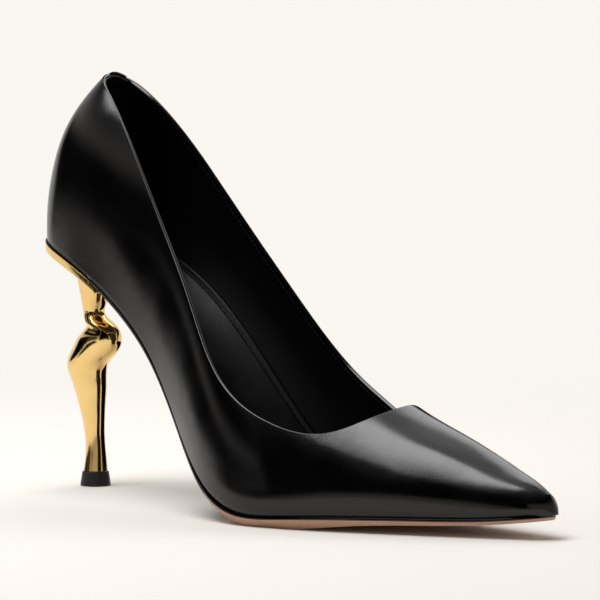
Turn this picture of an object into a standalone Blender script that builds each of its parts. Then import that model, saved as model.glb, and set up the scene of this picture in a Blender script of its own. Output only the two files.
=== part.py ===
# Pointed high heel pump for the right foot, in the pieces that a shoemaker puts together: a lasted
# leather upper, an outsole and an insole, a cast heel with its rubber top lift, and a small back tab.
#
# Lengths are in millimetres and become metres when a mesh is made. The shoe is worked out with the back
# of its heel at x = 0, its toe towards +X, its inner (medial) side towards +Y and the floor at z = 0.
# At the end the whole shoe is moved so that the origin lies on the floor under the middle of its box.

import bmesh
import bpy
import numpy as np

MM = 0.001

# Driving sizes
LENGTH = 243.0            # feather line, back of the heel to the tip of the toe
THROAT_X = 180.0          # where the opening ends on the ridge of the vamp
WALL = 1.6                # leather and lining together
TOE_WALL = 9.0            # stiffened tip between the outside and the inside of the toe
GAP = 0.3                 # clearance between pieces that meet
HEEL_ROUND = 27.0         # length of the rounded back of the last
TOE_ROUND = 7.0           # length of the rounded tip, seen from above
NOSE_ROUND = 9.0          # length of the rounded tip, seen from the side
SIDE_POWER = 1.37         # section shape: share of half width kept at an angle above the feather line
RISE_POWER = 0.71         # section shape: share of height reached at that angle
BACK_LEAN = 25.0          # how far the back leans forward at BACK_HEIGHT above the feather line
BACK_SWELL = 1.4          # backward swell of the heel counter at half that height
BACK_HEIGHT = 60.0
BACK_REACH = 70.0         # the lean fades out this far from the back
MEDIAL_LIFT = 3.0         # the inner topline stands higher than the outer one
MEDIAL_RISE = 40.0        # lengths over which that lift begins behind and ends in front
MEDIAL_FALL = 40.0
TUCK_HEIGHT = 30.0        # the wall over the arch stands out again to its full width at this height

# Sections of the last: half width about the centre line, ridge height (a virtual one behind the throat),
# sideways shift of the ridge towards the inner side, thickness of the sole below the feather line, and how
# far the inner feather line is drawn in under the arch
LAST = np.array(
    [
        (0.0, 96.3, 27.0, 163.0, 0.0, 0.0, 1.0, 0.0),
        (24.0, 87.8, 24.6, 155.5, 0.7, -1.0, 1.0, 1.5),
        (50.0, 73.2, 23.7, 147.0, 0.5, -1.1, 1.2, 12.0),
        (76.0, 53.0, 24.9, 133.0, -1.4, 0.6, 1.4, 17.0),
        (100.0, 29.4, 29.7, 112.4, -4.4, 4.0, 1.6, 13.5),
        (120.0, 12.3, 35.0, 91.3, -6.9, 6.7, 2.0, 6.5),
        (140.0, 4.0, 36.8, 70.2, -8.5, 8.3, 2.8, 1.2),
        (160.0, 3.8, 33.2, 52.6, -8.6, 8.6, 3.7, 0.0),
        (182.0, 4.8, 25.7, 40.0, -6.8, 8.1, 2.4, 0.0),
        (204.0, 5.4, 18.1, 31.2, -3.5, 7.4, 1.7, 0.0),
        (225.0, 6.2, 10.8, 21.8, 0.5, 4.7, 1.4, 0.0),
        (243.0, 8.2, 4.5, 13.1, 4.3, 0.0, 1.3, 0.0),
    ],
    dtype=[(name, float) for name in ("x", "feather", "half", "ridge", "centre", "shift", "sole", "tuck")],
)

# Outer topline seen from the side, from the back to just short of the throat
TOPLINE = np.array(
    [
        (0.0, 156.7),
        (25.0, 147.8),
        (50.0, 130.9),
        (75.0, 103.4),
        (100.0, 75.0),
        (127.0, 47.4),
        (150.3, 35.1),
        (172.1, 33.5),
    ],
    dtype=[(name, float) for name in ("x", "z")],
)

# Outsole edge and insole
SOLE_MARGIN = 0.5         # the sole stands out past the upper
SOLE_BAND = 0.9           # upright band along the top of the edge, at most BAND_SHARE of the thickness
BAND_SHARE = 0.55
SOLE_STEP = 0.25          # step between the band and the bevel
INSOLE_CLEAR = 0.6
INSOLE_RIM = 0.7          # drop and width of its rounded rim
INSOLE_ROUND = 2.5
INSOLE_TOE_CLEAR = 3.0
INSOLE_BLUNT = 0.15       # angle of the heel's round left flat at the very back
ARCH_FLAT = 0.85          # share of the arch reached where the rim begins
ARCH_MIDDLE = 0.5         # the arch grows with the square of the distance from the middle

# Padded insole: its height above the feather line, and the further rise of the arch on the inner side
INSOLE = np.array(
    [
        (0.0, 3.2, 0.0),
        (24.0, 3.8, 2.0),
        (50.0, 4.4, 7.4),
        (76.0, 4.4, 10.3),
        (100.0, 3.6, 9.1),
        (120.0, 2.7, 4.8),
        (145.0, 2.2, 0.4),
        (175.0, 2.0, 0.0),
        (243.0, 2.0, 0.0),
    ],
    dtype=[(name, float) for name in ("x", "bed", "arch")],
)

# Heel
HEEL_X = 14.8             # middle of the top lift
BREAST_X = 42.0           # front edge of the seat plate
SEAT_INSET = 0.5          # the plate lies inside the edge of the sole
SEAT_THICK = 2.2
SEAT_EDGE = 1.2           # rounded lower edge of the plate
STEM_COLLAR = 8.8         # radius where the stem meets the plate
LIFT_HEIGHT = 5.5
LIFT_FOOT_R = 5.8
LIFT_HEAD_R = 5.1
LIFT_BEVEL = 0.4

# Sections of the folded stem: height, offset of the middle along X, half sizes along X and across,
# and the share of the seat's slope that the section takes
STEM = np.array(
    [
        (LIFT_HEIGHT + GAP, 0.0, 4.9, 4.9, 0.0),
        (10.2, 0.2, 4.2, 4.2, 0.0),
        (14.9, 0.1, 3.7, 3.6, 0.0),
        (19.7, -0.3, 3.7, 3.5, 0.0),
        (25.4, -1.0, 4.4, 3.8, 0.0),
        (32.5, -2.1, 5.8, 4.6, 0.0),
        (38.7, -3.3, 7.2, 5.3, 0.0),
        (43.9, -4.5, 8.2, 5.9, 0.0),
        (47.2, -3.8, 9.4, 6.4, 0.0),
        (50.6, -1.0, 10.7, 6.6, 0.0),
        (53.8, 1.4, 11.0, 6.6, 0.0),
        (57.2, 3.0, 9.9, 6.4, 0.0),
        (60.5, 3.9, 7.2, 5.8, 0.0),
        (62.7, 2.2, 5.8, 5.2, 0.0),
        (65.4, -0.2, 4.1, 4.3, 0.0),
        (69.4, -0.4, 4.5, 4.8, 0.1),
        (76.2, -0.5, 6.0, 6.0, 0.5),
        (82.0, -0.3, 7.4, 7.4, 1.0),
    ],
    dtype=[(name, float) for name in ("z", "offset", "along", "across", "tilt")],
)

# Back tab, folded over the topline and set towards the inner side
TAB_THICK = 0.7
TAB_REACH = 5.0           # station of the last where the tab ends on the inner side
TAB_OUTER_END = -0.3      # where it ends on the outer side, as a share of that reach's root
TAB_DROP_OUT = 5.5        # height outside and inside
TAB_DROP_IN = 4.5
TAB_FOLD = 0.45           # clearance of the fold above the topline
TAB_CREST = 0.8           # how far out the top of the fold lies

# Mesh density
LEVELS = 12
LEVEL_POWER = 1.4         # closer levels near the feather line
HEEL_STATIONS = 18
THROAT_STATIONS = 9
VAMP_STATIONS = 15
THROAT_SPAN = 30.0
SEAT_STATIONS = 12
SOLE_STATIONS = 34
TOE_STATIONS = 8
TOE_SPAN = 18.0
BREAST_POINTS = 5
TAB_STATIONS = 10
LIFT_SEGMENTS = 32
MERGE = 0.001
SHARP_DEGREES = 40.0

MATERIALS = {
    "upper": {"colour": (0.012, 0.012, 0.013), "roughness": 0.32, "metallic": 0.0},
    "outsole": {"colour": (0.55, 0.38, 0.27), "roughness": 0.5, "metallic": 0.0},
    "insole": {"colour": (0.014, 0.014, 0.014), "roughness": 0.45, "metallic": 0.0},
    "heel": {"colour": (0.83, 0.60, 0.26), "roughness": 0.08, "metallic": 1.0},
    "top_lift": {"colour": (0.012, 0.012, 0.012), "roughness": 0.55, "metallic": 0.0},
    "heel_tab": {"colour": (0.012, 0.012, 0.013), "roughness": 0.32, "metallic": 0.0},
}

LATERAL = -1.0
MEDIAL = 1.0


def natural_spline(knots, values, at):
    """Natural cubic curve through the values at the knots, read at the given numbers."""
    step = np.diff(knots)
    slope = np.diff(values) / step
    system = np.eye(len(knots))
    right = np.zeros(len(knots))
    for i in range(1, len(knots) - 1):
        system[i, i - 1:i + 2] = step[i - 1], 2 * (step[i - 1] + step[i]), step[i]
        right[i] = 6 * (slope[i] - slope[i - 1])
    bend = np.linalg.solve(system, right)
    i = np.clip(np.searchsorted(knots, at) - 1, 0, len(knots) - 2)
    run = at - knots[i]
    first = slope[i] - step[i] * (2 * bend[i] + bend[i + 1]) / 6
    third = (bend[i + 1] - bend[i]) / (6 * step[i])
    return values[i] + run * (first + run * (bend[i] / 2 + run * third))


def last(column, x):
    return natural_spline(LAST["x"], LAST[column], x)


def quarter_round(share):
    """Height of a quarter circle, 0 at share 0 and 1 from share 1 on."""
    return np.sqrt(1 - (1 - np.clip(share, 0, 1)) ** 2)


def smooth_step(share):
    share = np.clip(share, 0, 1)
    return share**2 * (3 - 2 * share)


def skin_start(grow):
    return -grow


def skin_stop(grow):
    """Tip of a skin of the last: an inner skin stops short by the stiffened toe."""
    return LENGTH + (grow if grow >= 0 else grow * TOE_WALL / WALL)


def half_width(x, grow):
    """Half width at the feather line of the last's skin, moved outwards by grow."""
    back = quarter_round((x - skin_start(grow)) / (HEEL_ROUND - skin_start(grow)))
    tip = quarter_round((skin_stop(grow) - x) / TOE_ROUND)
    return (last("half", x) + grow) * back * tip


def arch_tuck(x):
    return np.maximum(last("tuck", np.maximum(x, 0)), 0)


def feather_edge(x, side, grow):
    """Distance of a feather line from the centre line: the inner one is cut in at the waist."""
    return half_width(x, grow) - (arch_tuck(x) if side == MEDIAL else 0)


def skin_station(x, grow):
    """Station of a moved skin that faces station x of the last itself."""
    behind = x - grow * (1 - x / THROAT_X)
    ahead = x + (skin_stop(grow) - LENGTH) * (x - THROAT_X) / (LENGTH - THROAT_X)
    return np.where(x < THROAT_X, behind, ahead)


def skin_point(x, angle, side, grow):
    """Point of a skin at a station and at an angle, 0 on the feather line and a right angle on the ridge."""
    feather = last("feather", x)
    nose = quarter_round((skin_stop(grow) - x) / NOSE_ROUND)
    height = (last("ridge", x) - feather + grow) * nose * np.sin(angle) ** RISE_POWER
    width = half_width(x, grow) * np.cos(angle) ** SIDE_POWER
    if side == MEDIAL:
        width = width - arch_tuck(x) * np.clip(1 - height / TUCK_HEIGHT, 0, 1) ** 2
    y = last("centre", x) + side * width + last("shift", x) * nose * np.sin(angle) ** 2
    share = height / BACK_HEIGHT
    fade = np.clip(1 - x / BACK_REACH, 0, 1) ** 2
    lean = fade * (BACK_LEAN * share**2 - BACK_SWELL * np.sin(np.pi * np.clip(share, 0, 1)))
    return np.stack([x + lean, y, feather + height], axis=-1)


def angle_at_height(x, z, grow):
    feather = last("feather", x)
    share = (z - feather) / (last("ridge", x) - feather + grow)
    return np.arcsin(np.clip(share, 0, 1) ** (1 / RISE_POWER))


def topline_curve(samples=200):
    """Topline seen from the side, spaced by its chord and ending on the ridge at the throat."""
    x = np.append(TOPLINE["x"], THROAT_X)
    z = np.append(TOPLINE["z"], last("ridge", np.array([THROAT_X])))
    chord = np.append(0.0, np.cumsum(np.hypot(np.diff(x), np.diff(z))))
    at = np.linspace(0, chord[-1], samples)
    return natural_spline(chord, x, at), natural_spline(chord, z, at)


def topline_height(x, side):
    curve_x, curve_z = topline_curve()
    height = np.interp(x, curve_x, curve_z)
    if side == MEDIAL:
        rise = smooth_step(x / MEDIAL_RISE)
        fall = smooth_step((THROAT_X - x) / MEDIAL_FALL)
        height = height + MEDIAL_LIFT * rise * fall
    return height


def top_angle(x, side):
    """Angle of the upper's top edge: the topline behind the throat, the ridge in front of it."""
    angle = angle_at_height(x, topline_height(x, side), 0.0)
    return np.where(x >= THROAT_X, np.pi / 2, angle)


def grid_quads(index):
    """Faces between neighbouring rows and columns of a grid of vertex numbers."""
    corners = index[:-1, :-1], index[1:, :-1], index[1:, 1:], index[:-1, 1:]
    return np.stack([corner.ravel() for corner in corners], axis=-1).tolist()


def make_piece(name, points, faces):
    """One closed object: doubles merged, faces turned outwards, shaded smooth, with its own material."""
    mesh = bpy.data.meshes.new(name)
    mesh.from_pydata((np.asarray(points) * MM).tolist(), [], faces)
    work = bmesh.new()
    work.from_mesh(mesh)
    bmesh.ops.remove_doubles(work, verts=work.verts, dist=MERGE * MM)
    bmesh.ops.recalc_face_normals(work, faces=work.faces)
    if work.calc_volume(signed=True) < 0:
        bmesh.ops.reverse_faces(work, faces=work.faces)
    work.to_mesh(mesh)
    work.free()
    mesh.shade_smooth()
    mesh.set_sharp_from_angle(angle=np.radians(SHARP_DEGREES))
    return finish_piece(bpy.data.objects.new(name, mesh))


def finish_piece(piece):
    look = MATERIALS[piece.name]
    material = bpy.data.materials.new(piece.name)
    material.use_nodes = True
    shader = material.node_tree.nodes["Principled BSDF"]
    shader.inputs["Base Color"].default_value = (*look["colour"], 1.0)
    shader.inputs["Roughness"].default_value = look["roughness"]
    shader.inputs["Metallic"].default_value = look["metallic"]
    piece.data.materials.append(material)
    return piece


def loft(sections):
    """Closed ring sections, shaped (stations, points, 3), with quads round and along them."""
    stations, count = sections.shape[:2]
    index = np.arange(stations * count).reshape(stations, count)
    ring = np.concatenate([index, index[:, :1]], axis=1)
    return sections.reshape(-1, 3), grid_quads(ring)


def make_upper():
    """Lasted shell: outer and inner skins of both sides, joined along topline, ridge and feather line."""
    throat_start = THROAT_X - THROAT_SPAN
    turn = np.linspace(0, np.pi / 2, HEEL_STATIONS, endpoint=False)
    close = np.linspace(1, 0, THROAT_STATIONS, endpoint=False)
    point = np.linspace(0, np.pi / 2, VAMP_STATIONS + 1)
    x = np.concatenate([
        throat_start * (1 - np.cos(turn)),
        THROAT_X - THROAT_SPAN * close**2,
        THROAT_X + (LENGTH - THROAT_X) * np.sin(point),
    ])
    throat = HEEL_STATIONS + THROAT_STATIONS
    level = np.linspace(0, 1, LEVELS + 1) ** LEVEL_POWER
    points = []
    faces = []
    for side in (LATERAL, MEDIAL):
        angle = top_angle(x, side)[:, None] * level
        grids = []
        for grow in (0.0, -WALL):
            station = np.repeat(skin_station(x, grow)[:, None], LEVELS + 1, axis=1)
            first = sum(len(block) for block in points)
            points.append(skin_point(station, angle, side, grow).reshape(-1, 3))
            grids.append(first + np.arange(angle.size).reshape(angle.shape))
            faces += grid_quads(grids[-1])
        outer, inner = grids
        faces += grid_quads(np.stack([outer[:, 0], inner[:, 0]], axis=1))
        faces += grid_quads(np.stack([outer[:throat + 1, -1], inner[:throat + 1, -1]], axis=1))
    return make_piece("upper", np.concatenate(points), faces)


def seat_stations():
    start = skin_start(SOLE_MARGIN)
    turn = np.linspace(0, np.pi / 2, SEAT_STATIONS + 1)
    return start + (BREAST_X - start) * (1 - np.cos(turn))


def sole_top(x):
    return last("feather", x) - GAP


def sole_band(x):
    return np.minimum(SOLE_BAND, BAND_SHARE * last("sole", x))


def sole_bottom(x):
    """Underside of the sole: flat on the floor under the ball, hipped up where its edge closes."""
    deep = last("sole", x) - sole_band(x)
    hip = np.clip(half_width(x, SOLE_MARGIN) / deep, 0, 1)
    return np.maximum(sole_top(x) - sole_band(x) - deep * hip, 0.0)


def make_outsole():
    """Sole with an upright edge band, a small step and a bevel down to the tread."""
    stop = skin_stop(SOLE_MARGIN)
    waist = np.linspace(BREAST_X, stop - TOE_SPAN, SOLE_STATIONS + 1)[1:]
    toe = stop - TOE_SPAN * (1 - np.sin(np.linspace(0, np.pi / 2, TOE_STATIONS + 1)[1:]))
    x = np.concatenate([seat_stations(), waist, toe])
    top = sole_top(x)
    band = top - sole_band(x)
    bottom = sole_bottom(x)
    centre = last("centre", x)
    halves = []
    for side in (MEDIAL, LATERAL):
        edge = feather_edge(x, side, SOLE_MARGIN)
        inner = np.maximum(edge - SOLE_STEP, 0)
        tread = np.maximum(edge - (last("sole", x) - sole_band(x)), 0)
        corners = (edge, top), (edge, band), (inner, band), (tread, bottom)
        halves.append([np.stack([x, centre + side * y, z], axis=-1) for y, z in corners])
    inner_half, outer_half = halves
    return make_piece("outsole", *loft(np.stack(inner_half + outer_half[::-1], axis=1)))


def make_insole():
    """Padded sock between the walls of the upper, with a rounded rim."""
    grow = -WALL - INSOLE_CLEAR
    start = skin_start(grow)
    stop = skin_stop(-WALL) - INSOLE_TOE_CLEAR
    turn = np.linspace(INSOLE_BLUNT, np.pi / 2, SEAT_STATIONS + 1)
    heel = start + (HEEL_ROUND - start) * (1 - np.cos(turn))
    foot = np.linspace(HEEL_ROUND, stop, SOLE_STATIONS + 1)[1:]
    x = np.concatenate([heel, foot])
    edge = half_width(x, grow)
    flat = np.maximum(edge - INSOLE_ROUND, 0)
    inner_foot = feather_edge(x, MEDIAL, grow)
    floor = last("feather", x)
    padding = natural_spline(INSOLE["x"], INSOLE["bed"], x)
    arch = np.maximum(natural_spline(INSOLE["x"], INSOLE["arch"], x), 0)
    bed = floor + padding
    rim = padding + arch - INSOLE_RIM
    wall = edge - arch_tuck(x) * np.clip(1 - rim / TUCK_HEIGHT, 0, 1) ** 2
    crest = np.maximum(wall - INSOLE_ROUND, 0)
    middle = (crest - flat) / 2
    # Corners of a section, from the inner foot over the arch to the outer foot: place across, and height
    ring = [
        (inner_foot, floor),
        (wall, floor + rim),
        (crest, bed + arch * ARCH_FLAT),
        (middle + (crest - middle) * ARCH_MIDDLE, bed + arch * ARCH_MIDDLE**2),
        (middle, bed),
        (-flat, bed),
        (-edge, bed - INSOLE_RIM),
        (-edge, floor),
    ]
    centre = last("centre", x)
    sections = [np.stack([x, centre + y, z], axis=-1) for y, z in ring]
    points, faces = loft(np.stack(sections, axis=1))
    faces.append(list(range(len(ring))))
    faces.append(list(range(len(points) - len(ring), len(points))))
    return make_piece("insole", points, faces)


def seat_outline(inset):
    """Edge of the seat plate from its outer front corner round the back to the inner one, then the breast."""
    x = seat_stations()
    outer, inner = (np.maximum(feather_edge(x, side, SOLE_MARGIN) - inset, 0) for side in (LATERAL, MEDIAL))
    x = np.maximum(x, x[0] + inset)
    x = np.minimum(x, BREAST_X - inset)
    centre = last("centre", x)
    breast_y = np.linspace(inner[-1], -outer[-1], BREAST_POINTS + 2)[1:-1] + centre[-1]
    outline_x = np.concatenate([x[::-1], x[1:], np.full(BREAST_POINTS, x[-1])])
    outline_y = np.concatenate([(centre - outer)[::-1], (centre + inner)[1:], breast_y])
    return outline_x, outline_y


def make_heel():
    """One casting: the folded stem rises from the top lift and opens into the plate under the heel seat."""
    rim_x, rim_y = seat_outline(SEAT_INSET)
    low_x, low_y = seat_outline(SEAT_INSET + SEAT_EDGE)
    around = np.arctan2(rim_y, rim_x - HEEL_X)
    front, back = sole_bottom(HEEL_X + STEM_COLLAR * np.array([1.0, -1.0]))
    slope = (front - back) / (2 * STEM_COLLAR)
    rows = []
    for row in STEM:
        x = HEEL_X + row["offset"] + row["along"] * np.cos(around)
        tilt = row["tilt"] * slope * (x - HEEL_X)
        rows.append(np.stack([x, row["across"] * np.sin(around), row["z"] + tilt], axis=-1))

    def plate(x, y, below):
        return np.stack([x, y, sole_bottom(x) - GAP - below], axis=-1)

    collar_x = HEEL_X + STEM_COLLAR * np.cos(around)
    rows.append(plate(collar_x, STEM_COLLAR * np.sin(around), SEAT_THICK))
    rows.append(plate(low_x, low_y, SEAT_THICK))
    rows.append(plate(rim_x, rim_y, SEAT_THICK - SEAT_EDGE))
    rows.append(plate(rim_x, rim_y, 0.0))
    points, faces = loft(np.stack(rows))
    count = len(rim_x)
    faces.append(list(range(count)))
    # The top face runs across the plate in strips, one for each station of the seat
    top = len(points) - count
    middle = SEAT_STATIONS
    for i in range(1, SEAT_STATIONS):
        strip = [middle - i, middle - i + 1, middle + i - 1, middle + i]
        faces.append([top + corner for corner in dict.fromkeys(strip)])
    breast = [0, 1, 2 * middle - 1, 2 * middle] + list(range(2 * middle + 1, count))
    faces.append([top + corner for corner in breast])
    return make_piece("heel", points, faces)


def make_top_lift():
    """Flared rubber tip: a cone frustum with softened edges."""
    mesh = bpy.data.meshes.new("top_lift")
    work = bmesh.new()
    bmesh.ops.create_cone(
        work, cap_ends=True, segments=LIFT_SEGMENTS,
        radius1=LIFT_FOOT_R * MM, radius2=LIFT_HEAD_R * MM, depth=LIFT_HEIGHT * MM,
    )
    work.to_mesh(mesh)
    work.free()
    piece = bpy.data.objects.new("top_lift", mesh)
    piece.location = (HEEL_X * MM, 0, LIFT_HEIGHT / 2 * MM)
    bevel = piece.modifiers.new("soft edges", "BEVEL")
    bevel.width = LIFT_BEVEL * MM
    bevel.segments = 2
    bevel.angle_limit = np.radians(SHARP_DEGREES)
    return finish_piece(piece)


def make_heel_tab():
    """Leather tab over the topline at the back: a folded strip between moved skins of the upper."""
    along = np.linspace(TAB_OUTER_END, 1, TAB_STATIONS)
    near_out = GAP
    far_out = GAP + TAB_THICK
    near_in = -WALL - GAP
    far_in = -WALL - GAP - TAB_THICK
    # Corners of the folded strip: how far out the skin lies, and the height above the topline
    corners = [
        (far_out, -TAB_DROP_OUT),
        (far_out, TAB_FOLD),
        (TAB_CREST, TAB_FOLD + TAB_THICK),
        (far_in, -TAB_FOLD),
        (far_in, -TAB_DROP_IN),
        (near_in, -TAB_DROP_IN),
        (near_in, -2 * TAB_FOLD),
        (near_out, TAB_FOLD),
        (near_out, -TAB_DROP_OUT),
    ]
    sections = []
    for share in along:
        side = MEDIAL if share >= 0 else LATERAL
        x = np.array([TAB_REACH * share**2])
        ring = []
        for grow, above in corners:
            station = skin_station(x, grow)
            angle = angle_at_height(station, topline_height(x, side) + above, grow)
            ring.append(skin_point(station, angle, side, grow)[0])
        sections.append(ring)
    points, faces = loft(np.array(sections))
    count = len(corners)
    faces.append(list(range(count)))
    faces.append(list(range(len(points) - count, len(points))))
    return make_piece("heel_tab", points, faces)


def main():
    for item in list(bpy.data.objects):
        bpy.data.objects.remove(item)
    pieces = [
        make_upper(),
        make_outsole(),
        make_insole(),
        make_heel(),
        make_top_lift(),
        make_heel_tab(),
    ]
    shoe = bpy.data.collections.new("high_heel_shoe")
    bpy.context.scene.collection.children.link(shoe)
    root = bpy.data.objects.new("shoe_origin", None)
    shoe.objects.link(root)
    corners = []
    for piece in pieces:
        shoe.objects.link(piece)
        piece.parent = root
        place = np.array(piece.location)
        corners += [place + np.array(vertex.co) for vertex in piece.data.vertices]
    low = np.min(corners, axis=0)
    high = np.max(corners, axis=0)
    root.location = (-(low[0] + high[0]) / 2, -(low[1] + high[1]) / 2, 0)


main()
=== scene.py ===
import bmesh
import bpy
import numpy as np
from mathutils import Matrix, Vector


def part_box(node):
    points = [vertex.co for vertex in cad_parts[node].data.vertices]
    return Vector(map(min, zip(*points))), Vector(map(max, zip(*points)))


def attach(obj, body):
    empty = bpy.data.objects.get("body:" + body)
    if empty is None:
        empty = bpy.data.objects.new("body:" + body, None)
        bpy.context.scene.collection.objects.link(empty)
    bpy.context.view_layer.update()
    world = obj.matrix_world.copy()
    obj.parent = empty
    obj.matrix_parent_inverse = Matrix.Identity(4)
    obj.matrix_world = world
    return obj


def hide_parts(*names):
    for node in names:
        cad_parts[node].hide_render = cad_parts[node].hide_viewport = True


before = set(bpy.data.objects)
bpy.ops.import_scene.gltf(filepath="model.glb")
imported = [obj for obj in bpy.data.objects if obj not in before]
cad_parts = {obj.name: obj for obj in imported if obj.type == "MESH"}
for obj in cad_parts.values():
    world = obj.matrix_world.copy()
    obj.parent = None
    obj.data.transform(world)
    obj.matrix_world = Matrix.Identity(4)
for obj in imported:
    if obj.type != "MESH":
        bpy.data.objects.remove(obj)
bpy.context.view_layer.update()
scene = bpy.context.scene
outerSide, innerSide = bothSides = (-1.0, 1.0)
heelX = 14.8  # middle of the top lift, from the back of the heel
liftLow, liftHigh = (np.array(corner) * 1000 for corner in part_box("top_lift"))
liftMiddle = (liftLow + liftHigh) / 2
shoeOrigin = np.array([liftMiddle[0] - heelX, liftMiddle[1], 0.0])
print("frame loaded, back of the heel at", shoeOrigin.round(2), "mm")

# The last, the form that the shoe is pulled over
lastShape = {
    "length": 243.0, "throat": 180.0,          # tip of the toe, and the end of the opening on the ridge
    "wall": 1.6, "toeWall": 9.0,               # leather and lining together, and the stiffened tip
    "heelRound": 27.0, "heelEase": 1.5, "toeRound": 7.0, "noseRound": 3.5,  # rounds at both ends
    "sidePower": 1.37, "risePower": 0.71,      # shape of a section between feather line and ridge
    "lean": 25.0, "swell": 1.4, "leanHeight": 60.0, "leanReach": 70.0,
    "innerLift": 3.0, "liftSpan": 40.0,        # the inner topline stands higher
    "tuckHeight": 30.0,                        # the wall over the arch stands out again up to this height
    "toplineSamples": 400,
}
lastRows = np.array(
    [  # x, feather line, half width, ridge, centre line, ridge shift, sole thickness, tuck under the arch
        (0.0, 96.3, 27.0, 163.0, 0.0, 0.0, 1.0, 0.0),
        (24.0, 87.8, 24.6, 155.5, 0.7, -1.0, 1.0, 1.5),
        (50.0, 73.2, 23.7, 147.0, 0.5, -1.1, 1.2, 12.0),
        (76.0, 53.0, 24.9, 133.0, -1.4, 0.6, 1.4, 17.0),
        (100.0, 29.4, 29.7, 112.4, -4.4, 4.0, 1.6, 13.5),
        (120.0, 12.3, 35.0, 91.3, -6.9, 6.7, 2.0, 6.5),
        (140.0, 4.0, 36.8, 70.2, -8.5, 8.3, 2.8, 1.2),
        (160.0, 3.8, 33.2, 52.6, -8.6, 8.6, 3.7, 0.0),
        (182.0, 4.8, 25.7, 40.0, -6.8, 8.1, 2.4, 0.0),
        (204.0, 5.4, 18.1, 31.2, -3.5, 7.4, 1.7, 0.0),
        (225.0, 6.2, 10.8, 21.8, 0.5, 4.7, 1.4, 0.0),
        (243.0, 8.2, 4.5, 13.1, 4.3, 0.0, 1.3, 0.0),
    ],
    dtype=[(name, float) for name in ("x", "feather", "half", "ridge", "centre", "shift", "sole", "tuck")],
)
toplineRows = np.array(
    [  # outer topline seen from the side
        (0.0, 156.7), (25.0, 147.8), (50.0, 130.9), (75.0, 103.4),
        (100.0, 75.0), (127.0, 47.4), (150.3, 35.1), (172.1, 33.5),
    ],
    dtype=[("x", float), ("z", float)],
)


def spline(knots, values, at):
    # natural cubic through the values: its bends solve the three-term system and vanish at both ends
    step = np.diff(knots)
    slope = np.diff(values) / step
    inside = np.arange(1, len(knots) - 1)
    system = np.eye(len(knots))
    system[inside, inside - 1] = step[:-1]
    system[inside, inside] = 2 * (step[:-1] + step[1:])
    system[inside, inside + 1] = step[1:]
    right = np.zeros(len(knots))
    right[inside] = 6 * np.diff(slope)
    bend = np.linalg.solve(system, right)
    i = np.clip(np.searchsorted(knots, at) - 1, 0, len(knots) - 2)
    run = at - knots[i]
    first = slope[i] - step[i] * (2 * bend[i] + bend[i + 1]) / 6
    third = (bend[i + 1] - bend[i]) / (6 * step[i])
    return values[i] + run * (first + run * (bend[i] / 2 + run * third))


def lastAt(column, x):
    return spline(lastRows["x"], lastRows[column], x)


def quarterRound(share):
    # height of a quarter circle over its own base, 0 to 1
    return np.sqrt(1 - (1 - np.clip(share, 0, 1)) ** 2)


def smoothStep(share):
    share = np.clip(share, 0, 1)
    return share**2 * (3 - 2 * share)


def easeBetween(x, start, stop):
    # smooth step over the way from start to stop
    return smoothStep((x - start) / (stop - start))


def bell(distance, width):
    # soft bump, 1 in the middle, with the width at which it has sunk to about a third
    return np.exp(-((distance / width) ** 2))


def skinStop(grow):
    # the tip moves out with the skin, and in by the thicker wall of the stiffened toe
    inwards = grow * lastShape["toeWall"] / lastShape["wall"]
    return lastShape["length"] + np.where(np.asarray(grow) >= 0, grow, inwards)


def heelClose(share):
    # root of one less the cube of the way left: round as a circle at the back, and it runs out smoothly
    return np.sqrt(1 - (1 - np.clip(share / lastShape["heelEase"], 0, 1)) ** 3)


def halfWidth(x, grow):
    # half the width at the feather line, closed round the heel and by a quarter circle at the toe
    back = heelClose((x + grow) / (lastShape["heelRound"] + grow))
    tip = quarterRound((skinStop(grow) - x) / lastShape["toeRound"])
    return (lastAt("half", x) + grow) * back * tip


def archTuck(x):
    return np.maximum(lastAt("tuck", np.maximum(x, 0)), 0)


def featherEdge(x, side, grow):
    return halfWidth(x, grow) - (archTuck(x) if side == innerSide else 0)


def skinStation(x, grow):
    # station of a moved skin that faces station x of the last itself
    throat = lastShape["throat"]
    behind = x - grow * (1 - x / throat)
    ahead = x + (skinStop(grow) - lastShape["length"]) * (x - throat) / (lastShape["length"] - throat)
    return np.where(x < throat, behind, ahead)


def skinPoint(x, angle, side, grow):
    # a section rises with a power of the sine and narrows with a power of the cosine of the angle;
    # the back leans forward with the square of the height, and the arch is drawn in near the feather line
    feather = lastAt("feather", x)
    nose = quarterRound((skinStop(grow) - x) / lastShape["noseRound"])
    height = (lastAt("ridge", x) - feather + grow) * nose * np.sin(angle) ** lastShape["risePower"]
    width = halfWidth(x, grow) * np.clip(np.cos(angle), 0, 1) ** lastShape["sidePower"]
    if side == innerSide:
        width = width - archTuck(x) * np.clip(1 - height / lastShape["tuckHeight"], 0, 1) ** 2
    y = lastAt("centre", x) + side * width + lastAt("shift", x) * nose * np.sin(angle) ** 2
    share = height / lastShape["leanHeight"]
    fade = np.clip(1 - x / lastShape["leanReach"], 0, 1) ** 2
    lean = fade * (lastShape["lean"] * share**2 - lastShape["swell"] * np.sin(np.pi * np.clip(share, 0, 1)))
    return np.stack([x + lean, y, feather + height], axis=-1)


def angleAt(x, z, grow):
    feather = lastAt("feather", x)
    share = (z - feather) / (lastAt("ridge", x) - feather + grow)
    return np.arcsin(np.clip(share, 0, 1) ** (1 / lastShape["risePower"]))


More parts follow.
